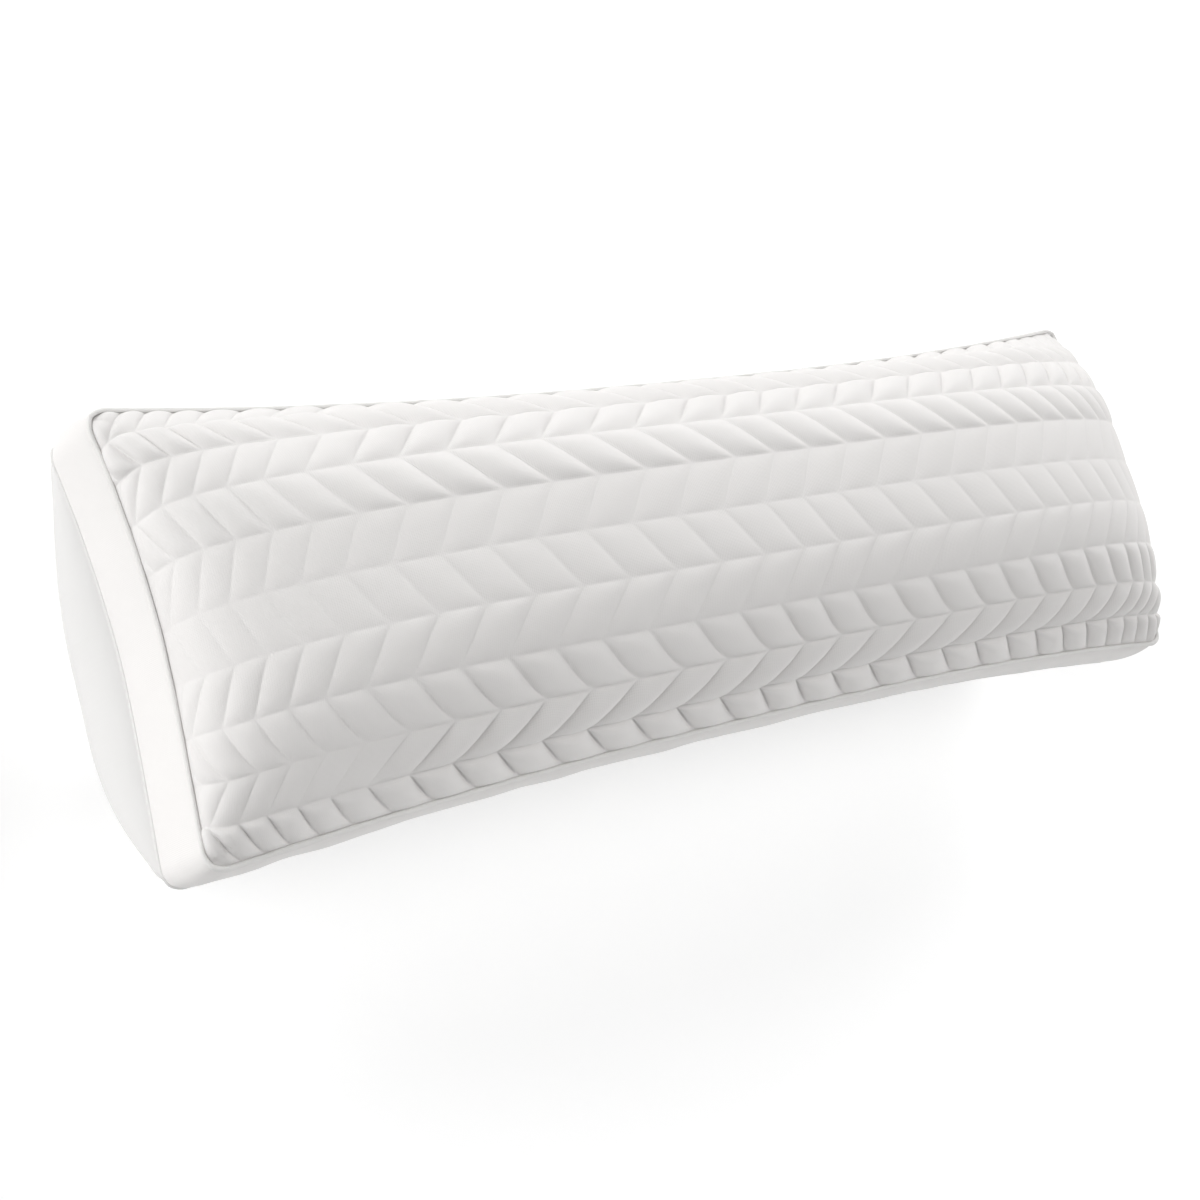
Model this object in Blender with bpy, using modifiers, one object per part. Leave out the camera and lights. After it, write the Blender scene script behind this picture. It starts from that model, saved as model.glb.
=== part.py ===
"""Boxed body pillow: quilted front, plain side strip and back, a welt in each seam. Metres, +Z up.

It lies on its back: the flat spot of the back is at Z = 0, the quilted front faces up, and its length runs along X.
"""
import bpy
import bmesh
import numpy as np
from math import pi
from mathutils import Vector

# ------------------------------------------------------------------ driving dimensions, metres
LENGTH = 1.320          # between the seam's end corners
WIDTH = 0.408           # between the seam's side corners
GUSSET = 0.080          # height of the side strip, front seam to back seam
FRONT_CROWN = 0.1425    # front seam up to the bottom of the channels at the middle
BACK_CROWN = 0.154      # what the back would bulge if nothing pressed on it
REST_DEPTH = 0.135      # back seam down to the flat spot
CORNER_R = 0.022        # rounding of the seam's corners in plan

END_DRAW = 0.0165       # how far the end seams pull in at the middle, and the power of that curve
END_POWER = 1.64
END_SKEW = 0.0043
SIDE_DRAW = 0.024       # the same for the long seams
SIDE_POWER = 2.5
SIDE_SKEW = 0.0028
SIDE_BULGE = 0.0050     # how far the side strip swells outward at half height

FRONT_U = (3.73, 0.393)     # crown along the length: power, root
FRONT_V = (3.0, 0.965)      # crown across the width
FRONT_SHIFT = (-0.022, -0.034)
BACK_U = (12.0, 0.16)
BACK_V = (2.7, 0.98)
BACK_END_ROOT = 0.28        # the back's corners are pinched more than its middle
BACK_SHIFT = 0.05
FLAT_U, FLAT_V = 0.92, 0.376  # extent of the flat spot, as parts of the half length and half width
FLAT_SOFT = 0.008           # how gently the back turns into the flat spot

ROWS = 10               # rows of slanting channels across the width
CELLS = 30              # cells along each row
PUFF = 0.0072           # height of a cell above its channels
END_STRETCH = 0.47      # shorter rows have their last cells a little closer together
END_STRETCH_POWER = 6
FULL_ROW = 0.705        # half length of the longest row, over the crown
ROW_CROWD = 0.039       # rows are closer together near the ends of the end seams
ROW_CROWD_POWER = 8.7
ROW_SHIFT = 0.0065

CLOTH_GUSSET = 0.0025   # thickness of the side strip
CLOTH_BACK = 0.0020     # thickness of the back
WELT_FRONT = 0.0028     # radius of the front welt
WELT_BACK = 0.0018
GAP = 0.0005            # between neighbouring pieces

# spacing of the channels along a row: distance from the row's middle over the crown, and the spacing there
PITCH = {"from_middle": (0.0, 0.10, 0.20, 0.30, 0.40, 0.50, 0.57, 0.63, 0.71),
         "pitch": (0.0493, 0.0574, 0.0571, 0.0536, 0.0495, 0.0446, 0.0332, 0.0272, 0.0272)}
# where each row line's channels end: row line, and the shift of its channels in cells
ROW_PHASE = {"line": (0, 1, 2, 3, 4, 5, 6, 7, 8, 9, 10),
             "shift": (0.80, 0.0, 0.79, -0.12, 0.55, -0.11, 0.59, -0.11, 0.86, 0.11, 0.98)}

Z_BACK = REST_DEPTH
Z_FRONT = REST_DEPTH + GUSSET
A, B = LENGTH / 2, WIDTH / 2


# ------------------------------------------------------------------ shape functions
def dome(t, power, root):
    return np.maximum(1.0 - np.abs(t) ** power, 0.0) ** root


def end_x(y):
    v = np.clip(y / B, -1, 1)
    return A - END_DRAW * (1 - np.abs(v) ** END_POWER) - END_SKEW * v * (1 - v * v)


def side_y(x, sign):
    s = np.clip(x / A, -1, 1)
    low = SIDE_SKEW * s * (1 - s * s)
    return B - SIDE_DRAW * (1 - np.abs(s) ** SIDE_POWER) - np.where(sign < 0, low, 0.0)


def plan(u, v, inset=0.0):
    """The plan position of a point of the panel given by its parts (u, v) of the half length and half width."""
    u = np.asarray(u, float)
    v = np.asarray(v, float)
    x = u * A
    y = v * B
    for _ in range(10):
        top, low = side_y(x, 1.0) - inset, side_y(x, -1.0) - inset
        y = (top - low) / 2 + (top + low) / 2 * v
        x = u * (end_x(y) - inset)
    r = CORNER_R - inset
    ex = end_x(y) - inset
    sy = side_y(x, v) - inset
    xi = 1 - (ex - np.abs(x)) / r
    eta = 1 - (sy - np.abs(y)) / r
    near = (xi > 0) & (eta > 0)
    k = np.where(near, np.maximum(xi, eta) / np.maximum(np.hypot(xi, eta), 1e-9), 1.0)
    x = np.where(near, np.sign(x) * (ex - r * (1 - xi * k)), x)
    y = np.where(near, np.sign(y) * (sy - r * (1 - eta * k)), y)
    return x, y


def front_surface(u, v, inset):
    x, y = plan(u, v, inset)
    us = u + FRONT_SHIFT[0] * (1 - u * u)
    vs = v + FRONT_SHIFT[1] * (1 - v * v)
    z = Z_FRONT + FRONT_CROWN * dome(us, *FRONT_U) * dome(vs, *FRONT_V)
    return np.stack([x, y, z], -1)


def back_bulge(u, v):
    """How far the back would stand out from its seam if nothing pressed on it."""
    vs = v + BACK_SHIFT * (1 - v * v)
    root = BACK_V[1] + BACK_END_ROOT * np.abs(u) ** 4
    return BACK_CROWN * dome(u, *BACK_U) * dome(vs, BACK_V[0], root)


def back_surface(u, v, inset):
    x, y = plan(u, v, inset)
    full = back_bulge(u, v)
    low, high = REST_DEPTH - FLAT_SOFT, REST_DEPTH + FLAT_SOFT
    deep = np.where(full < low, full, np.where(full > high, REST_DEPTH, full - (full - low) ** 2 / (4 * FLAT_SOFT)))
    return np.stack([x, y, Z_BACK - deep], -1)


def cell_count(t, half):
    """Cells between a row's middle and the distance t over the crown, in a row of that half length."""
    g = np.linspace(0, PITCH["from_middle"][-1], 711)
    rate = 1 / np.interp(g, PITCH["from_middle"], PITCH["pitch"])
    c = np.concatenate([[0], np.cumsum((rate[1:] + rate[:-1]) / 2 * np.diff(g))])
    far = np.abs(t) + END_STRETCH * (FULL_ROW - half) * (np.abs(t) / half) ** END_STRETCH_POWER
    return np.sign(t) * np.interp(far, g, c)


def row_curve(row, inset, n=361):
    """u, v and cell count, from the middle, of the line at row count 0 (+Y seam) to ROWS (-Y seam)."""
    u = np.sin(pi / 2 * np.sin(pi / 2 * np.linspace(-1, 1, n)))
    v = np.sin(pi / 2 * np.linspace(1, -1, 121))
    grid = front_surface(np.repeat(u[:, None], 121, 1), np.repeat(v[None], n, 0), inset)
    run = np.concatenate([np.zeros((n, 1)), np.cumsum(np.linalg.norm(np.diff(grid, axis=1), axis=2), 1)], 1)
    part = run / run[:, -1:]
    want = row / ROWS - ROW_CROWD * np.sin(2 * pi * row / ROWS) * np.abs(u) ** ROW_CROWD_POWER \
        - ROW_SHIFT * np.sin(pi * row / ROWS)
    vr = np.array([np.interp(want[i], part[i], v) for i in range(n)])
    if row == 0:
        vr[:] = 1.0
    if row == ROWS:
        vr[:] = -1.0
    line = front_surface(u, vr, inset)
    s = np.concatenate([[0], np.cumsum(np.linalg.norm(np.diff(line, axis=0), axis=1))])
    return u, vr, cell_count(s - np.interp(0.0, u, s), s[-1] / 2)


def phase(row):
    """Shift of the channels at a row count: straight from one row line to the next."""
    return np.interp(row, ROW_PHASE["line"], ROW_PHASE["shift"])


# ------------------------------------------------------------------ scene helpers
for old in list(bpy.data.objects):
    bpy.data.objects.remove(old, do_unlink=True)

pillow = bpy.data.collections.new("body_pillow")
bpy.context.scene.collection.children.link(pillow)


def material(name, rgb, rough):
    m = bpy.data.materials.new(name)
    m.use_nodes = True
    bsdf = m.node_tree.nodes["Principled BSDF"]
    bsdf.inputs["Base Color"].default_value = (*rgb, 1)
    bsdf.inputs["Roughness"].default_value = rough
    bsdf.inputs["Metallic"].default_value = 0.0
    return m


def add_mesh(name, bm, mat):
    mesh = bpy.data.meshes.new(name)
    bm.to_mesh(mesh)
    bm.free()
    mesh.materials.append(mat)
    mesh.shade_smooth()
    ob = bpy.data.objects.new(name, mesh)
    pillow.objects.link(ob)
    return ob


def next_ring(bm, ring, points):
    """Extrudes a closed ring of vertices and puts the new ring at the points. The new ring keeps the order."""
    edges = [bm.edges.get((ring[i - 1], ring[i])) for i in range(len(ring))]
    made = bmesh.ops.extrude_edge_only(bm, edges=edges)["geom"]
    new = {g for g in made if isinstance(g, bmesh.types.BMVert)}
    after = [next(e.other_vert(v) for e in v.link_edges if e.other_vert(v) in new) for v in ring]
    for v, p in zip(after, points):
        v.co = p
    return after


def cap(bm, ring):
    bm.faces.new(ring)


def tidy(bm):
    bmesh.ops.recalc_face_normals(bm, faces=bm.faces)
    bm.normal_update()


# ------------------------------------------------------------------ the seam, as a loop of parts (u, v)
HALF = CELLS // 2
COLS = np.arange(-HALF, HALF + 0.25, 0.5)
LINES = np.concatenate([[0, 0.2], np.arange(0.5, ROWS, 0.5), [ROWS - 0.2, ROWS]])
NC, NR = len(COLS), len(LINES)
INSET_FRONT = WELT_FRONT + 0.0008
REGULAR = HALF - 3      # beyond this column the cells close up to meet the end seams

grid_uv = np.zeros((NC, NR, 2))
width = np.zeros((NC, NR))
for j, row in enumerate(LINES):
    u, v, c = row_curve(row, INSET_FRONT)
    shift = phase(row)
    count = np.interp(COLS, (-HALF, -REGULAR, REGULAR, HALF), (c[0], -REGULAR + shift, REGULAR + shift, c[-1]))
    grid_uv[:, j, 0] = np.interp(count, c, u)
    grid_uv[:, j, 1] = np.interp(count, c, v)
    width[:, j] = np.gradient(grid_uv[:, j, 0] * A) * 2
grid_uv[0, :, 0], grid_uv[-1, :, 0] = -1, 1
grid_uv[:, 0, 1], grid_uv[:, -1, 1] = 1, -1


def front_normal(u, v):
    """Unit normal of the smooth crown."""
    e = 1e-4
    u, v = np.clip(u, -1 + e, 1 - e), np.clip(v, -1 + e, 1 - e)
    du = front_surface(u + e, v, INSET_FRONT) - front_surface(u - e, v, INSET_FRONT)
    dv = front_surface(u, v + e, INSET_FRONT) - front_surface(u, v - e, INSET_FRONT)
    n = np.cross(du, dv)
    return n / np.maximum(np.linalg.norm(n, axis=-1, keepdims=True), 1e-12)


# cells stand up between their channels, a little less where they are narrow or end at a seam
half_col = np.isclose(COLS % 1, 0.5)
half_row = np.isclose(LINES % 1, 0.5)
edge_col = 1 - 0.80 * (np.abs(COLS) > HALF - 1)
edge_row = 1 - 0.45 * (np.abs(LINES - ROWS / 2) > ROWS / 2 - 1)
puff = PUFF * (half_col * edge_col)[:, None] * (half_row * edge_row)[None, :] * np.clip(width / 0.040, 0.35, 1)
base = front_surface(grid_uv[..., 0], grid_uv[..., 1], INSET_FRONT)
top_points = base + front_normal(grid_uv[..., 0], grid_uv[..., 1]) * puff[..., None]

# ------------------------------------------------------------------ quilted front, filled
bm = bmesh.new()
bmesh.ops.create_grid(bm, x_segments=NC - 1, y_segments=NR - 1, size=1.0)
where = {}
for vert in bm.verts:
    i = int(round((vert.co.x + 1) / 2 * (NC - 1)))
    j = int(round((1 - vert.co.y) / 2 * (NR - 1)))
    where[(i, j)] = vert
for (i, j), vert in where.items():
    vert.co = top_points[i, j]

# half the vertices on the straight runs of the edge are dropped, so that the plain pieces stay light
drop, keep = [], []
loop = [(i, 0) for i in range(NC - 1)] + [(NC - 1, j) for j in range(NR - 1)] \
    + [(i, NR - 1) for i in range(NC - 1, 0, -1)] + [(0, j) for j in range(NR - 1, 0, -1)]
for (i, j) in loop:
    along = i if j in (0, NR - 1) else j
    last = NC - 1 if j in (0, NR - 1) else NR - 1
    on_half = half_col[i] if j in (0, NR - 1) else half_row[j]
    if 3 < along < last - 3 and on_half:
        drop.append(where[(i, j)])
    else:
        keep.append((i, j))
seam_uv = np.array([grid_uv[k] for k in keep])
edge = [where[k] for k in keep]
bmesh.ops.dissolve_verts(bm, verts=drop)


def seam_ring(offset, z):
    """The seam loop moved outward by offset in plan, at height z."""
    x, y = plan(seam_uv[:, 0], seam_uv[:, 1], -offset)
    return np.stack([x, y, np.full(len(x), z)], -1)


def flat_scale():
    """For each point of the seam loop, how far toward it the flat spot reaches, as part of FLAT_U and FLAT_V."""
    low, high = np.full(len(seam_uv), 0.3), np.full(len(seam_uv), 1.2)
    for _ in range(40):
        mid = (low + high) / 2
        inside = back_bulge(np.clip(seam_uv[:, 0] * FLAT_U * mid, -1, 1), seam_uv[:, 1] * FLAT_V * mid) > REST_DEPTH + FLAT_SOFT
        low, high = np.where(inside, mid, low), np.where(inside, high, mid)
    return low


FLAT = flat_scale()


def back_ring(part, inset):
    u = seam_uv[:, 0] * (1 - part * (1 - FLAT_U * FLAT))
    v = seam_uv[:, 1] * (1 - part * (1 - FLAT_V * FLAT))
    ring = back_surface(u, v, inset)
    if part == 1:
        ring[:, 2] = 0.0
    return ring


def sheet(rings, closed):
    """An open surface through closed rings, its last ring filled when closed is set."""
    sb = bmesh.new()
    ring = bmesh.ops.create_circle(sb, cap_ends=False, segments=len(seam_uv), radius=1.0)["verts"]
    for vert, p in zip(ring, rings[0]):
        vert.co = p
    stack = [ring]
    for points in rings[1:]:
        ring = next_ring(sb, ring, points)
        stack.append(ring)
    if closed:
        cap(sb, ring)
    tidy(sb)
    return sb, stack


def facing_out(sb):
    """Turns the sheet so that its faces look away from the pillow's middle."""
    middle = Vector((0, 0, Z_BACK + GUSSET / 2))
    score = sum(f.calc_area() * f.normal.dot(f.calc_center_median() - middle) for f in sb.faces)
    if score < 0:
        bmesh.ops.reverse_faces(sb, faces=sb.faces)
        sb.normal_update()


gusset_rings = [seam_ring(0.0, Z_FRONT - WELT_FRONT - GAP),
                seam_ring(SIDE_BULGE, (Z_FRONT + Z_BACK) / 2),
                seam_ring(0.0, Z_BACK + WELT_BACK + GAP)]
gusset_bm, gusset_stack = sheet(gusset_rings, False)
facing_out(gusset_bm)

INSET_BACK = WELT_BACK + GAP
back_parts = (0.0, 0.05, 0.18, 0.40, 0.68, 1.0)
back_bm, back_stack = sheet([back_ring(k, INSET_BACK) for k in back_parts], True)
facing_out(back_bm)


def inner_ring(ring, depth):
    """The ring moved inward along the cloth's own normals."""
    return [v.co - v.normal * depth for v in ring]


ring = edge
ring = next_ring(bm, ring, inner_ring(gusset_stack[1], CLOTH_GUSSET + GAP))
ring = next_ring(bm, ring, inner_ring(gusset_stack[2], CLOTH_GUSSET + GAP))
for level in back_stack:
    ring = next_ring(bm, ring, inner_ring(level, CLOTH_BACK + GAP))
cap(bm, ring)
tidy(bm)
front = add_mesh("front_panel", bm, material("quilted_front", (0.86, 0.85, 0.83), 0.85))

# ------------------------------------------------------------------ side strip and back, as cloth
gusset = add_mesh("gusset", gusset_bm, material("plain_strip", (0.88, 0.87, 0.85), 0.80))
back = add_mesh("back_panel", back_bm, material("plain_back", (0.84, 0.83, 0.82), 0.82))
for ob, thick in ((gusset, CLOTH_GUSSET), (back, CLOTH_BACK)):
    mod = ob.modifiers.new("cloth", "SOLIDIFY")
    mod.thickness = thick
    mod.offset = -1
    mod.use_even_offset = False


# ------------------------------------------------------------------ welts in both seams
def welt(name, z, radius, mat):
    x, y = plan(seam_uv[:, 0], seam_uv[:, 1])
    curve = bpy.data.curves.new(name, "CURVE")
    curve.dimensions = "3D"
    curve.bevel_depth = radius
    curve.bevel_resolution = 1
    line = curve.splines.new("POLY")
    line.points.add(len(x) - 1)
    for p, px, py in zip(line.points, x, y):
        p.co = (px, py, z, 1)
    line.use_cyclic_u = True
    curve.materials.append(mat)
    ob = bpy.data.objects.new(name, curve)
    pillow.objects.link(ob)
    return ob


welt("front_piping", Z_FRONT, WELT_FRONT, material("front_welt", (0.90, 0.89, 0.87), 0.75))
welt("back_piping", Z_BACK, WELT_BACK, material("back_welt", (0.86, 0.85, 0.83), 0.75))
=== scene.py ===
"""Looks of the boxed body pillow: quilted front, plain side strip and back, and a welt in each seam. Metres, +Z up.

The shape functions and sizes repeat the part's own, so every piece lies on the solid that it stands for.
"""

from math import cos, pi, radians, sin

import bpy
import numpy as np
from mathutils import Matrix, Vector


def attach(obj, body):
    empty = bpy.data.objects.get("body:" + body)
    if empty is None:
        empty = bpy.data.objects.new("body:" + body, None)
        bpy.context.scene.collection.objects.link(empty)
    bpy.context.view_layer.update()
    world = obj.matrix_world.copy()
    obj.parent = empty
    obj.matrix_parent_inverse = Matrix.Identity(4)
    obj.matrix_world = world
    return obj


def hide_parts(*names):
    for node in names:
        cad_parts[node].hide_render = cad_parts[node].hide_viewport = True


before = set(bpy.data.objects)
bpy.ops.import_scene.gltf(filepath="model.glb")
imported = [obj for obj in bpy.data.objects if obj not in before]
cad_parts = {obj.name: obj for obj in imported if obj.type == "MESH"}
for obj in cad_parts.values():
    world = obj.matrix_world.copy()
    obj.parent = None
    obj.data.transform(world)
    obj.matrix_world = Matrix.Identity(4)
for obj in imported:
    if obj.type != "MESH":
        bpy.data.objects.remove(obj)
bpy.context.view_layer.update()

# ------------------------------------------------------------------ sizes, metres
LENGTH, WIDTH, GUSSET = 1.320, 0.408, 0.080
FRONT_CROWN, BACK_CROWN, REST_DEPTH = 0.1425, 0.154, 0.135
CORNER_R = 0.022
END_DRAW, END_POWER, END_SKEW = 0.0165, 1.64, 0.0043
SIDE_DRAW, SIDE_POWER, SIDE_SKEW = 0.024, 2.5, 0.0028
SIDE_BULGE = 0.0050
FRONT_U, FRONT_V, FRONT_SHIFT = (3.73, 0.393), (3.0, 0.965), (-0.022, -0.034)
BACK_U, BACK_V, BACK_END_ROOT, BACK_SHIFT = (12.0, 0.16), (2.7, 0.98), 0.28, 0.05
FLAT_U, FLAT_V, FLAT_SOFT = 0.92, 0.376, 0.008
ROWS = 10
# height of the cells of each band above their channels: the cloth is pulled flatter over the crown than at its sides
PUFF = (0.0050, 0.0105, 0.0070, 0.0064, 0.0020, 0.0018, 0.0030, 0.0064, 0.0124, 0.0128)
# part of that height lost at the left end and at the right end
FLATTER = {"left": (0.25, 0.25, 0.55, 0.45, 0.25, 0.35, 0.15, 0.45, 0.84, 0.35),
           "right": (0.74, 0.74, 0.74, 0.66, 0.60, 0.60, 0.60, 0.50, 0.50, 0.50)}
END_STRETCH, END_STRETCH_POWER, FULL_ROW = 0.47, 6, 0.705
ROW_CROWD, ROW_CROWD_POWER, ROW_SHIFT = 0.039, 8.7, 0.0065
PITCH = {"from_middle": (0.0, 0.10, 0.20, 0.30, 0.40, 0.50, 0.57, 0.63, 0.71),
         "pitch": (0.0493, 0.0574, 0.0571, 0.0536, 0.0495, 0.0446, 0.0332, 0.0272, 0.0272)}
# where each row line's channels end, in cells, and how far the first channel at the left end leans to the seam
ROW_LINES = {"line": (0, 1, 2, 3, 4, 5, 6, 7, 8, 9, 10),
             "shift": (1.22, 0.24, 0.87, -0.12, 0.61, -0.10, 0.60, -0.11, 0.92, 0.12, 1.12),
             "lean": (0.0, 0.0, 0.0, -0.3, 0.0, -0.3, 0.0, -0.3, 0.0, 0.0, 0.0)}
# how fast a channel runs along the row where it leaves the upper row line and where it meets the lower one
CHANNEL = {"leave": (1.0, 1.0, 1.0, 1.0, 1.3, 1.0, 1.3, 1.0, 1.3, 1.0),
           "arrive": (1.0, 1.3, 1.0, 1.3, 1.0, 1.2, 0.9, 1.5, 1.0, 1.2)}

CLOTH_GUSSET, CLOTH_BACK = 0.0025, 0.0020
WELT_FRONT, WELT_BACK = 0.0028, 0.0018
INSET_FRONT = WELT_FRONT - 0.0006

Z_BACK = REST_DEPTH
Z_FRONT = REST_DEPTH + GUSSET
A, B = LENGTH / 2, WIDTH / 2


# ------------------------------------------------------------------ shape functions
def dome(t, power, root):
    return np.maximum(1.0 - np.abs(t) ** power, 0.0) ** root


def end_x(y):
    v = np.clip(y / B, -1, 1)
    return A - END_DRAW * (1 - np.abs(v) ** END_POWER) - END_SKEW * v * (1 - v * v)


def side_y(x, sign):
    s = np.clip(x / A, -1, 1)
    low = SIDE_SKEW * s * (1 - s * s)
    return B - SIDE_DRAW * (1 - np.abs(s) ** SIDE_POWER) - np.where(sign < 0, low, 0.0)


def plan(u, v, inset=0.0):
    """The plan position of a point of the panel given by its parts (u, v) of the half length and half width."""
    u = np.asarray(u, float)
    v = np.asarray(v, float)
    x = u * A
    y = v * B
    for _ in range(10):
        top, low = side_y(x, 1.0) - inset, side_y(x, -1.0) - inset
        y = (top - low) / 2 + (top + low) / 2 * v
        x = u * (end_x(y) - inset)
    r = CORNER_R - inset
    ex = end_x(y) - inset
    sy = side_y(x, v) - inset
    xi = 1 - (ex - np.abs(x)) / r
    eta = 1 - (sy - np.abs(y)) / r
    near = (xi > 0) & (eta > 0)
    k = np.where(near, np.maximum(xi, eta) / np.maximum(np.hypot(xi, eta), 1e-9), 1.0)
    x = np.where(near, np.sign(x) * (ex - r * (1 - xi * k)), x)
    y = np.where(near, np.sign(y) * (sy - r * (1 - eta * k)), y)
    return x, y


def front_surface(u, v, inset=INSET_FRONT):
    x, y = plan(u, v, inset)
    us = u + FRONT_SHIFT[0] * (1 - u * u)
    vs = v + FRONT_SHIFT[1] * (1 - v * v)
    z = Z_FRONT + FRONT_CROWN * dome(us, *FRONT_U) * dome(vs, *FRONT_V)
    return np.stack([x, y, z], -1)


def back_bulge(u, v):
    vs = v + BACK_SHIFT * (1 - v * v)
    root = BACK_V[1] + BACK_END_ROOT * np.abs(u) ** 4
    return BACK_CROWN * dome(u, *BACK_U) * dome(vs, BACK_V[0], root)


def back_surface(u, v, inset):
    x, y = plan(u, v, inset)
    full = back_bulge(u, v)
    low, high = REST_DEPTH - FLAT_SOFT, REST_DEPTH + FLAT_SOFT
    deep = np.where(full < low, full, np.where(full > high, REST_DEPTH, full - (full - low) ** 2 / (4 * FLAT_SOFT)))
    return np.stack([x, y, Z_BACK - deep], -1)


def surface_normal(surface, u, v, *more):
    e = 1e-4
    u, v = np.clip(u, -1 + e, 1 - e), np.clip(v, -1 + e, 1 - e)
    du = surface(u + e, v, *more) - surface(u - e, v, *more)
    dv = surface(u, v + e, *more) - surface(u, v - e, *more)
    n = np.cross(du, dv)
    return n / np.maximum(np.linalg.norm(n, axis=-1, keepdims=True), 1e-12)


def cell_count(t, half):
    """Cells between a row's middle and the distance t over the crown, in a row of that half length."""
    g = np.linspace(0, PITCH["from_middle"][-1], 711)
    rate = 1 / np.interp(g, PITCH["from_middle"], PITCH["pitch"])
    c = np.concatenate([[0], np.cumsum((rate[1:] + rate[:-1]) / 2 * np.diff(g))])
    far = np.abs(t) + END_STRETCH * (FULL_ROW - half) * (np.abs(t) / half) ** END_STRETCH_POWER
    return np.sign(t) * np.interp(far, g, c)


NU, NV = 601, 161
CROWN_U = np.sin(pi / 2 * np.sin(pi / 2 * np.linspace(-1, 1, NU)))
CROWN_V = np.sin(pi / 2 * np.linspace(1, -1, NV))
CROWN = front_surface(np.repeat(CROWN_U[:, None], NV, 1), np.repeat(CROWN_V[None], NU, 0))
ACROSS = np.concatenate([np.zeros((NU, 1)), np.cumsum(np.linalg.norm(np.diff(CROWN, axis=1), axis=2), 1)], 1)
ACROSS_PART = ACROSS / ACROSS[:, -1:]


def row_curve(row):
    """u, v, distance from the middle and cell count of the line at row count 0 (+Y seam) to ROWS (-Y seam)."""
    want = row / ROWS - ROW_CROWD * np.sin(2 * pi * row / ROWS) * np.abs(CROWN_U) ** ROW_CROWD_POWER \
        - ROW_SHIFT * np.sin(pi * row / ROWS)
    v = np.array([np.interp(want[i], ACROSS_PART[i], CROWN_V) for i in range(NU)])
    if row == 0:
        v[:] = 1.0
    if row == ROWS:
        v[:] = -1.0
    line = front_surface(CROWN_U, v)
    s = np.concatenate([[0], np.cumsum(np.linalg.norm(np.diff(line, axis=0), axis=1))])
    t = s - np.interp(0.0, CROWN_U, s)
    return CROWN_U, v, t, cell_count(t, s[-1] / 2)


def channel_run(f, leave, arrive):
    """Part of a channel's run along the row at part f of its way down the band."""
    return (f ** 3 - 2 * f * f + f) * leave + (3 * f * f - 2 * f ** 3) + (f ** 3 - f * f) * arrive


def clustered(n, amount):
    """n + 1 parts from 0 to 1, closer together at both ends."""
    t = np.linspace(0, 1, n + 1)
    return (1 - amount) * t + amount * (1 - np.cos(pi * t)) / 2


# ------------------------------------------------------------------ small helpers
def noise_of(seed, *shape):
    return np.random.default_rng(seed).uniform(-1, 1, shape)


def smooth_waves(seed, s, period, amount, terms=14, slowest=2):
    """A smooth periodic random curve over s, for waviness along a closed seam."""
    rng = np.random.default_rng(seed)
    out = np.zeros_like(s)
    total = 0
    for k in range(slowest, slowest + terms):
        a = rng.uniform(0.3, 1.0) / k ** 0.5
        out += a * np.sin(2 * pi * k * s / period + rng.uniform(0, 2 * pi))
        total += a * a
    return amount * out / np.sqrt(total / 2)


def link(ob):
    bpy.context.scene.collection.objects.link(ob)
    return ob


def mesh_piece(name, points, faces, mat, weave=None):
    mesh = bpy.data.meshes.new(name)
    mesh.from_pydata([tuple(p) for p in points], [], faces)
    if weave is not None:
        a = mesh.attributes.new("weave", "FLOAT_VECTOR", "POINT")
        w = np.zeros((len(points), 3), np.float32)
        w[:, :weave.shape[1]] = weave
        a.data.foreach_set("vector", w.ravel())
    mesh.validate()
    mesh.materials.append(mat)
    mesh.shade_smooth()
    mesh.update()
    return link(bpy.data.objects.new(name, mesh))


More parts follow.
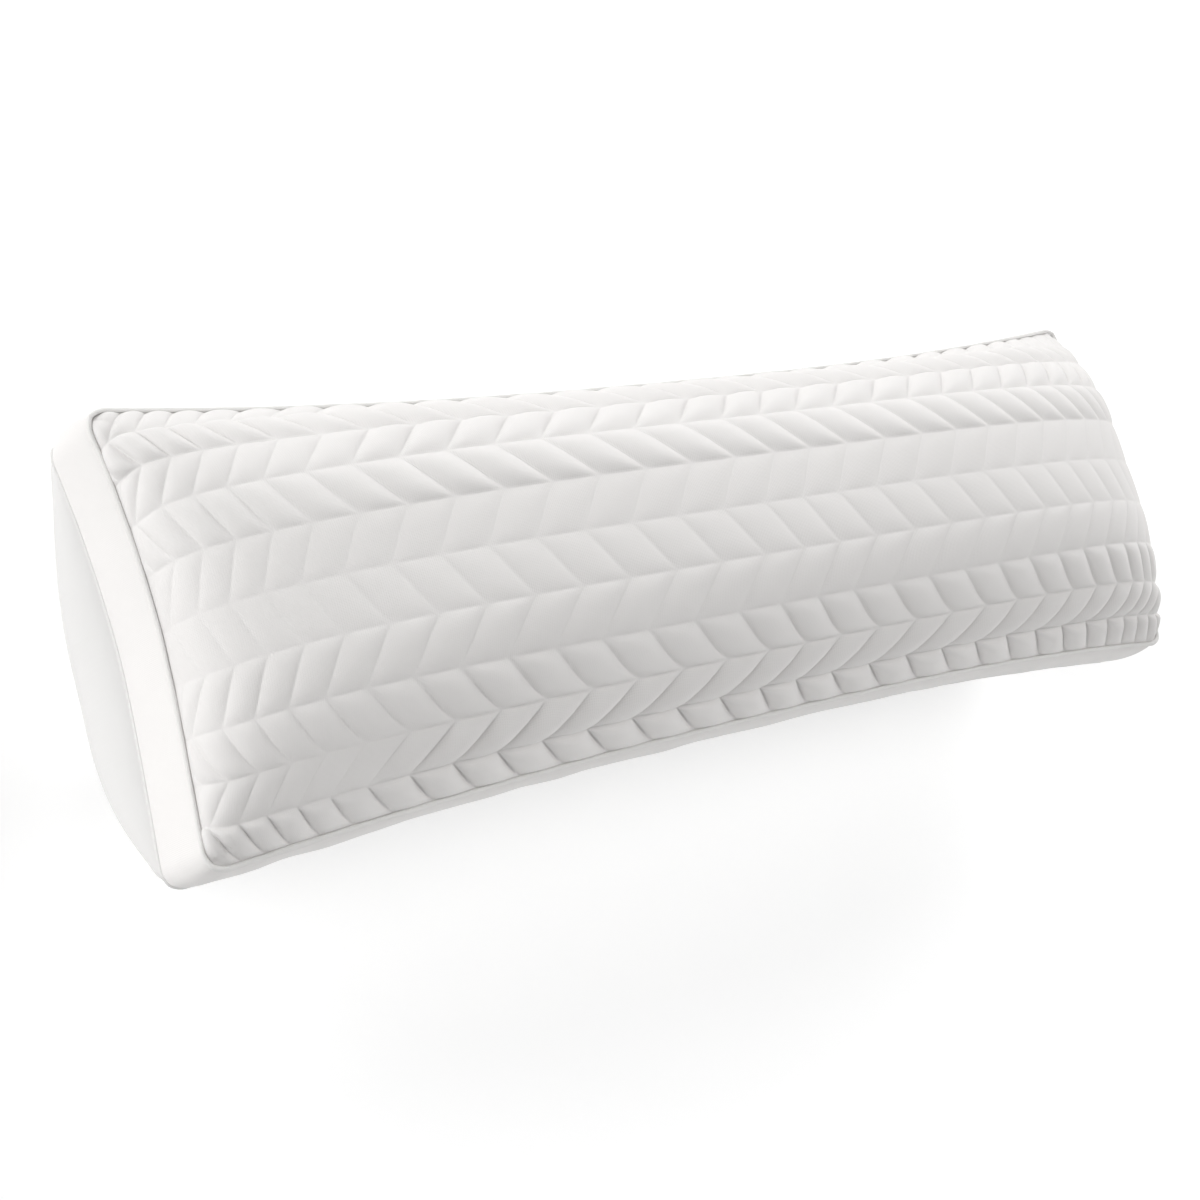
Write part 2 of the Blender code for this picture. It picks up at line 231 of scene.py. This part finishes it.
# ------------------------------------------------------------------ materials
def cloth(name, colour, shade, rough, sheen, pitch, depth, fuzz=0.00004, soft=0.0):
    """Knitted cloth: fine ribs along the run, stitches across them, slow colour changes and a soft sheen."""
    m = bpy.data.materials.new(name)
    m.use_nodes = True
    nt = m.node_tree
    bsdf = nt.nodes["Principled BSDF"]
    bsdf.inputs["Roughness"].default_value = rough
    bsdf.inputs["Specular IOR Level"].default_value = 0.25
    bsdf.inputs["Sheen Weight"].default_value = sheen
    bsdf.inputs["Sheen Roughness"].default_value = 0.45
    new, to = nt.nodes.new, nt.links.new
    attr = new("ShaderNodeAttribute")
    attr.attribute_name = "weave"
    split = new("ShaderNodeSeparateXYZ")
    to(attr.outputs["Vector"], split.inputs[0])

    def math(op, a, b=None, c=None):
        n = new("ShaderNodeMath")
        n.operation = op
        for i, x in enumerate((a, b, c)):
            if x is None:
                continue
            if isinstance(x, (int, float)):
                n.inputs[i].default_value = x
            else:
                to(x, n.inputs[i])
        return n.outputs[0]

    grain = new("ShaderNodeTexNoise")
    grain.inputs["Scale"].default_value = 260.0
    grain.inputs["Detail"].default_value = 3.0
    to(attr.outputs["Vector"], grain.inputs["Vector"])
    wander = math("MULTIPLY", math("SUBTRACT", grain.outputs["Fac"], 0.5), 1.6)
    along = math("MULTIPLY_ADD", split.outputs[0], 2 * pi / (pitch * 1.25), wander)
    across = math("MULTIPLY_ADD", split.outputs[1], 2 * pi / pitch, wander)
    rib = math("SINE", across)
    loop = math("SINE", along)
    knit = math("MULTIPLY_ADD", loop, 0.45, math("MULTIPLY", rib, 0.6))
    knit = math("MULTIPLY_ADD", math("SUBTRACT", grain.outputs["Fac"], 0.5), 1.1, knit)
    bump = new("ShaderNodeBump")
    bump.inputs["Strength"].default_value = depth
    bump.inputs["Distance"].default_value = 0.0003
    to(knit, bump.inputs["Height"])
    to(bump.outputs["Normal"], bsdf.inputs["Normal"])

    slow = new("ShaderNodeTexNoise")
    slow.inputs["Scale"].default_value = 5.0
    slow.inputs["Detail"].default_value = 4.0
    to(attr.outputs["Vector"], slow.inputs["Vector"])
    mix = new("ShaderNodeMix")
    mix.data_type = "RGBA"
    mix.inputs["A"].default_value = (*shade, 1)
    mix.inputs["B"].default_value = (*colour, 1)
    fac = math("MULTIPLY_ADD", math("SUBTRACT", slow.outputs["Fac"], 0.5), 0.9, 0.62)
    fac = math("MULTIPLY_ADD", knit, 0.16, fac)
    fac = math("MINIMUM", math("MAXIMUM", fac, 0.0), 1.0)
    to(fac, mix.inputs["Factor"])
    to(mix.outputs["Result"], bsdf.inputs["Base Color"])
    rough_mix = math("MULTIPLY_ADD", slow.outputs["Fac"], 0.12, rough - 0.06)
    to(rough_mix, bsdf.inputs["Roughness"])
    return m


quilt_cloth = cloth("quilted_knit", (0.757, 0.742, 0.731), (0.702, 0.687, 0.676), 0.86, 0.12, 0.0016, 0.25)
strip_cloth = cloth("plain_strip_knit", (0.79, 0.775, 0.763), (0.745, 0.729, 0.717), 0.80, 0.10, 0.0013, 0.22)
back_cloth = cloth("plain_back_knit", (0.73, 0.724, 0.716), (0.69, 0.683, 0.674), 0.82, 0.10, 0.0013, 0.22)
welt_cloth = cloth("front_welt_knit", (0.76, 0.752, 0.738), (0.71, 0.701, 0.687), 0.78, 0.12, 0.0012, 0.25)
back_welt_cloth = cloth("back_welt_knit", (0.74, 0.734, 0.724), (0.70, 0.693, 0.683), 0.80, 0.10, 0.0012, 0.25)

# ------------------------------------------------------------------ quilted front
CELL_N, BAND_N = 12, 18
# cells from end to end, with one to spare past each end seam
FIRST, LAST = -18, 17
cell_parts = clustered(CELL_N, 0.62)
band_parts = clustered(BAND_N, 0.55)
count0 = np.concatenate([FIRST + i + cell_parts[:-1] for i in range(LAST - FIRST)] + [[LAST]])
rows = np.concatenate([k + band_parts[:-1] for k in range(ROWS)] + [[ROWS]])
NC, NR = len(count0), len(rows)
shift, lean = np.array(ROW_LINES["shift"]), np.array(ROW_LINES["lean"])

uu, vv = np.zeros((NC, NR)), np.zeros((NC, NR))
run_x, gap = np.zeros((NC, NR)), np.zeros((NC, NR))
inside = np.zeros((NC, NR), bool)
for j, row in enumerate(rows):
    u, v, t, c = row_curve(row)
    k = min(int(row), ROWS - 1)
    f = row - k
    g = channel_run(f, CHANNEL["leave"][k], CHANNEL["arrive"][k])
    ph = shift[k] + (shift[k + 1] - shift[k]) * g
    ln = lean[k] + (lean[k + 1] - lean[k]) * g
    count = count0 + ph + ln * np.exp(-((count0 + 15.0) / 0.75) ** 2)
    inside[:, j] = (count > c[0] + 0.02) & (count < c[-1] - 0.02)
    uu[:, j], vv[:, j] = np.interp(count, c, u), np.interp(count, c, v)
    run_x[:, j] = np.interp(count, c, t)
    gap[:, j] = np.minimum(run_x[:, j] - t[0], t[-1] - run_x[:, j])

cell_index = np.clip(np.floor(count0 + 1e-9).astype(int) - FIRST, 0, LAST - FIRST - 1)
across_cell = 2 * (count0 - FIRST - cell_index) - 1
band_index = np.minimum(rows.astype(int), ROWS - 1)
across_band = 2 * (rows - band_index) - 1
profile_cell = (1 - np.abs(across_cell) ** 2.0) ** 0.84
profile_band = (1 - np.abs(across_band) ** 3.0) ** 0.80
# the first band stands up close to its side seam, as scallops
first_side = (band_index == 0) & (across_band < 0)
profile_band = np.where(first_side, (1 - np.abs(across_band) ** 6.0) ** 0.60, profile_band)
# the last band rises steeply from its row line, and the band above it runs out flatter into that line
last_side = (band_index == ROWS - 1) & (across_band < 0)
profile_band = np.where(last_side, (1 - np.abs(across_band) ** 5.0) ** 0.65, profile_band)
over_last = (band_index == ROWS - 2) & (across_band > 0)
profile_band = np.where(over_last, profile_band * (1 - 0.28 * across_band ** 2), profile_band)
vary = 1 + 0.07 * noise_of(11, LAST - FIRST, ROWS)[cell_index - 1][:, band_index]
seam_fade = np.clip(gap / 0.014, 0, 1)
seam_fade = seam_fade * (2 - seam_fade)
# a channel that runs out into an end seam loses its depth there
by_end = np.clip(gap / 0.016, 0, 1)
cell_part = 0.6 * (1 - by_end) + profile_cell[:, None] * by_end
down_band = rows - band_index
by_seam = np.where(band_index == ROWS - 1, down_band, 0.0)
puff = np.array(PUFF)[band_index] * profile_band * (1 - 0.72 * by_seam ** 1.6)
right_end = np.clip((uu - 0.72) / 0.28, 0, 1)
left_end = np.clip((-uu - 0.62) / 0.20, 0, 1)
flatter = 1 - np.array(FLATTER["right"])[band_index][None] * right_end * right_end * (3 - 2 * right_end) \
    - np.array(FLATTER["left"])[band_index][None] * left_end * left_end * (3 - 2 * left_end)
height = cell_part * puff[None] * vary * seam_fade * flatter

base = front_surface(uu, vv)
normal = surface_normal(front_surface, uu, vv)
top = base + normal * height[..., None]
weave_y = np.cumsum(np.concatenate([[0], np.linalg.norm(np.diff(base[NC // 2], axis=0), axis=1)]))

# vertices past an end seam collapse to one point of that seam in each row
index = np.full((NC, NR), -1)
points, weave, seam_left, seam_right = [], [], [], []
for j in range(NR):
    ok = np.flatnonzero(inside[:, j])
    lo, hi = ok[0], ok[-1]
    for i in range(lo, hi + 1):
        index[i, j] = len(points)
        points.append(top[i, j])
        weave.append((run_x[i, j], weave_y[j]))
    for side, where, store in ((-1.0, slice(0, lo), seam_left), (1.0, slice(hi + 1, NC), seam_right)):
        index[where, j] = len(points)
        store.append(len(points))
        i = 0 if side < 0 else NC - 1
        points.append(front_surface(side, vv[i, j]))
        weave.append((run_x[i, j], weave_y[j]))
faces = []
for j in range(NR - 1):
    for i in range(NC - 1):
        q = (index[i, j], index[i, j + 1], index[i + 1, j + 1], index[i + 1, j])
        f = [q[n] for n in range(4) if q[n] != q[n - 1]]
        if len(f) >= 3 and len(set(f)) == len(f):
            faces.append(f)

# the body under the quilting: down inside the side strip and the back
top_row = [index[i, 0] for i in range(NC) if inside[i, 0]]
low_row = [index[i, NR - 1] for i in range(NC) if inside[i, NR - 1]]
loop = seam_left[:1] + top_row + seam_right + low_row[::-1] + seam_left[:0:-1]
loop_uv = [(-1.0, 1.0)] + [(uu[i, 0], 1.0) for i in range(NC) if inside[i, 0]] \
    + [(1.0, vv[-1, j]) for j in range(NR)] \
    + [(uu[i, -1], -1.0) for i in range(NC - 1, -1, -1) if inside[i, -1]] \
    + [(-1.0, vv[0, j]) for j in range(NR - 1, 0, -1)]
loop_uv = np.array(loop_uv)


def flat_scale(uv):
    low, high = np.full(len(uv), 0.3), np.full(len(uv), 1.2)
    for _ in range(40):
        mid = (low + high) / 2
        ok = back_bulge(np.clip(uv[:, 0] * FLAT_U * mid, -1, 1), uv[:, 1] * FLAT_V * mid) > REST_DEPTH + FLAT_SOFT
        low, high = np.where(ok, mid, low), np.where(ok, high, mid)
    return low


def ring_points(uv, inset, z):
    x, y = plan(uv[:, 0], uv[:, 1], inset)
    return np.stack([x, y, np.full(len(x), z)], -1)


under = [ring_points(loop_uv, 0.0042, Z_FRONT - 0.006), ring_points(loop_uv, 0.0046, Z_FRONT - 0.030),
         ring_points(loop_uv, 0.0050, Z_BACK + 0.004)]
scale = flat_scale(loop_uv)
for part in (0.08, 0.3, 0.65, 1.0):
    u2 = loop_uv[:, 0] * (1 - part * (1 - FLAT_U * scale))
    v2 = loop_uv[:, 1] * (1 - part * (1 - FLAT_V * scale))
    p = back_surface(u2, v2, 0.005)
    n = -surface_normal(back_surface, u2, v2, 0.005)
    under.append(p - n * 0.005)
previous = loop
for ring in under:
    start = len(points)
    points.extend(ring)
    weave.extend([(p[0], p[1]) for p in ring])
    current = list(range(start, start + len(ring)))
    for n in range(len(current)):
        faces.append((previous[n - 1], previous[n], current[n], current[n - 1]))
    previous = current
faces.append(previous[::-1])
front = mesh_piece("quilted_front_panel", np.array(points), faces, quilt_cloth, np.array(weave))

# ------------------------------------------------------------------ one loop of points for the plain pieces
SEAM_N = 1100


def even_seam(n):
    """Parts (u, v) of n points evenly spaced round the seam, anticlockwise from the middle of the -Y side."""
    side = np.linspace(-1, 1, 1500, endpoint=False)
    uv = np.concatenate([np.stack([side, -np.ones(1500)], -1), np.stack([np.ones(1500), side], -1),
                         np.stack([-side, np.ones(1500)], -1), np.stack([-np.ones(1500), -side], -1)])
    uv = np.roll(uv, -750, 0)
    x, y = plan(uv[:, 0], uv[:, 1])
    d = np.hypot(np.diff(np.append(x, x[0])), np.diff(np.append(y, y[0])))
    s = np.concatenate([[0], np.cumsum(d)])
    want = np.linspace(0, s[-1], n, endpoint=False)
    closed = np.concatenate([uv, uv[:1]])
    return np.stack([np.interp(want, s, closed[:, 0]), np.interp(want, s, closed[:, 1])], -1), want, s[-1]


seam_uv, seam_s, seam_len = even_seam(SEAM_N)
seam_xy = np.stack(plan(seam_uv[:, 0], seam_uv[:, 1]), -1)
tangent = np.roll(seam_xy, -1, 0) - np.roll(seam_xy, 1, 0)
tangent /= np.linalg.norm(tangent, axis=1, keepdims=True)
outward = np.stack([tangent[:, 1], -tangent[:, 0]], -1)


def strip(name, rings, weave_rings, mat, thick=0.0, closed_ring=False):
    """A band of faces through closed rings, turned to face outward; thick makes it a sheet with a rim."""
    n = len(rings[0])
    pts = np.concatenate(rings)
    wv = np.concatenate(weave_rings)
    fs = []
    last = len(rings) if closed_ring else len(rings) - 1
    for k in range(last):
        a, b = k * n, (k + 1) % len(rings) * n
        for i in range(n):
            h = (i + 1) % n
            fs.append((a + i, b + i, b + h, a + h))
    ob = mesh_piece(name, pts, fs, mat, wv)
    if thick:
        mod = ob.modifiers.new("cloth", "SOLIDIFY")
        mod.thickness = thick
        mod.offset = -1
        mod.use_even_offset = False
    return ob


# ------------------------------------------------------------------ side strip
STRIP_N = 16
strip_rings, strip_weave = [], []
z_top, z_low = Z_FRONT - 0.0006, Z_BACK + 0.0008
# the strip swells a little more under its welt along the -Y side, and the welt stands up along the +Y side
low_side = np.clip(-outward[:, 1], 0, 1) ** 2
high_side = np.clip(outward[:, 1], 0, 1) ** 2
swell = 1 + smooth_waves(3, seam_s, seam_len, 0.10, 16, 3)
slack = smooth_waves(5, seam_s, seam_len, 0.0005, 40, 12)
for k, f in enumerate(clustered(STRIP_N, 0.5)):
    roll = -(0.0012 + 0.0030 * low_side) * np.exp(-f / 0.07) - 0.0006 * np.exp(-(1 - f) / 0.03)
    roll += (0.0014 + 0.0004 * low_side) * (1 - np.exp(-f / 0.03)) * (1 - f)
    bulge = SIDE_BULGE * (1 - (2 * f - 1) ** 2) * swell + slack * np.sin(pi * f) + roll
    xy = seam_xy + outward * bulge[:, None]
    strip_rings.append(np.column_stack([xy, np.full(SEAM_N, z_top + (z_low - z_top) * f)]))
    strip_weave.append(np.column_stack([seam_s, np.full(SEAM_N, f * GUSSET)]))
gusset = strip("side_strip", strip_rings, strip_weave, strip_cloth, 0.0018)

# ------------------------------------------------------------------ back
BACK_NU, BACK_NV = 190, 80
bu = np.sin(pi / 2 * np.linspace(-1, 1, BACK_NU + 1)) * 0.75 + np.linspace(-1, 1, BACK_NU + 1) * 0.25
bv = np.sin(pi / 2 * np.linspace(-1, 1, BACK_NV + 1)) * 0.5 + np.linspace(-1, 1, BACK_NV + 1) * 0.5
BU, BV = np.meshgrid(bu, bv, indexing="ij")
back_pts = back_surface(BU, BV, 0.0010)
back_faces = []
idx = np.arange(BU.size).reshape(BU.shape)
for i in range(BACK_NU):
    for j in range(BACK_NV):
        back_faces.append((idx[i, j], idx[i, j + 1], idx[i + 1, j + 1], idx[i + 1, j]))
back = mesh_piece("plain_back", back_pts.reshape(-1, 3), back_faces, back_cloth,
                  np.stack([BU * 0.71, BV * 0.26], -1).reshape(-1, 2))
mod = back.modifiers.new("cloth", "SOLIDIFY")
mod.thickness = 0.0016
mod.offset = -1
mod.use_even_offset = False


# ------------------------------------------------------------------ welts
def welt(name, z, radius, reach, squash, seed, mat, sides=16):
    """A thin cord in folded cloth, lying in the seam: a tube of slightly uneven section."""
    wob = smooth_waves(seed, seam_s, seam_len, 0.00012, 60, 20)
    rings, wv = [], []
    for k in range(sides):
        a = 2 * pi * k / sides
        r = radius + wob
        out = reach + np.cos(a) * r
        up = np.sin(a) * r * squash
        xy = seam_xy + outward * out[:, None]
        rings.append(np.column_stack([xy, z + up]))
        wv.append(np.column_stack([seam_s, np.full(SEAM_N, a * WELT_FRONT)]))
    return strip(name, rings[::-1], wv[::-1], mat, 0.0, True)


front_welt = welt("front_welt", Z_FRONT + 0.0006 - 0.0002 * low_side + 0.0014 * high_side,
                  WELT_FRONT - 0.0007 * (1 - low_side), 0.0003 * low_side, 1.0, 7, welt_cloth)
back_welt = welt("back_welt", Z_BACK, WELT_BACK, -0.0005, 0.9, 9, back_welt_cloth)

# ------------------------------------------------------------------ rides, and the part that each piece stands for, hidden
for ob, node, slot in ((front, "front_panel", "quilted_front"), (gusset, "gusset", "plain_strip"),
                       (back, "back_panel", "plain_back"), (front_welt, "front_piping", "front_welt"),
                       (back_welt, "back_piping", "back_welt")):
    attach(ob, "root")
    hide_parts(node)

# ------------------------------------------------------------------ floor, light and camera
floor_mesh = bpy.data.meshes.new("floor")
floor_mesh.from_pydata([(-30, -30, -0.001), (30, -30, -0.001), (30, 30, -0.001), (-30, 30, -0.001)], [], [(0, 1, 2, 3)])
floor = link(bpy.data.objects.new("floor", floor_mesh))
pale = bpy.data.materials.new("pale_floor")
pale.use_nodes = True
pale.node_tree.nodes["Principled BSDF"].inputs["Base Color"].default_value = (0.93, 0.93, 0.93, 1)
pale.node_tree.nodes["Principled BSDF"].inputs["Emission Color"].default_value = (1, 1, 1, 1)
pale.node_tree.nodes["Principled BSDF"].inputs["Emission Strength"].default_value = 0.22
pale.node_tree.nodes["Principled BSDF"].inputs["Roughness"].default_value = 0.9
pale.node_tree.nodes["Principled BSDF"].inputs["Specular IOR Level"].default_value = 0.1
floor_mesh.materials.append(pale)

world = bpy.data.worlds.new("studio")
bpy.context.scene.world = world
world.use_nodes = True
world.node_tree.nodes["Background"].inputs["Color"].default_value = (1.0, 1.0, 1.0, 1)
world.node_tree.nodes["Background"].inputs["Strength"].default_value = 0.04


def soft_light(name, elevation, azimuth, strength, spread=40):
    """A wide, far studio panel: its height and compass direction in degrees from +X, towards +Y."""
    data = bpy.data.lights.new(name, "SUN")
    data.angle = radians(spread)
    data.energy = strength
    ob = link(bpy.data.objects.new(name, data))
    e, a = radians(elevation), radians(azimuth)
    ob.rotation_euler = Vector((cos(e) * cos(a), cos(e) * sin(a), sin(e))).to_track_quat("Z", "Y").to_euler()
    return ob


soft_light("rear_left", 17, 130, 1.32)
soft_light("rear_right", 17, 48, 1.64)
soft_light("right_low", 15, -14, 1.05)
soft_light("left_low", 16, 174, 0.90)
soft_light("right_high", 42, -14, 0.84)
soft_light("left_high", 50, 185, 0.84)
soft_light("overhead", 76, 100, 0.15)
soft_light("front_high", 62, -95, 0.24)

CAMERA_PLACE = Vector((-1.5113, -0.3420, 1.8018))
forward = Vector((0.6384, 0.1469, -0.7556)).normalized()
upward = Vector((0.132, 0.9462, 0.2955))
right = forward.cross(upward).normalized()
upward = right.cross(forward)
camera_data = bpy.data.cameras.new("camera")
camera_data.sensor_fit = "HORIZONTAL"
camera_data.angle = radians(31.137)
camera_data.clip_end = 200
camera = link(bpy.data.objects.new("camera", camera_data))
camera.matrix_world = Matrix(((right.x, upward.x, -forward.x, CAMERA_PLACE.x),
                              (right.y, upward.y, -forward.y, CAMERA_PLACE.y),
                              (right.z, upward.z, -forward.z, CAMERA_PLACE.z),
                              (0, 0, 0, 1)))
bpy.context.scene.camera = camera
bpy.context.scene.view_settings.view_transform = "Standard"
bpy.context.scene.view_settings.look = "None"
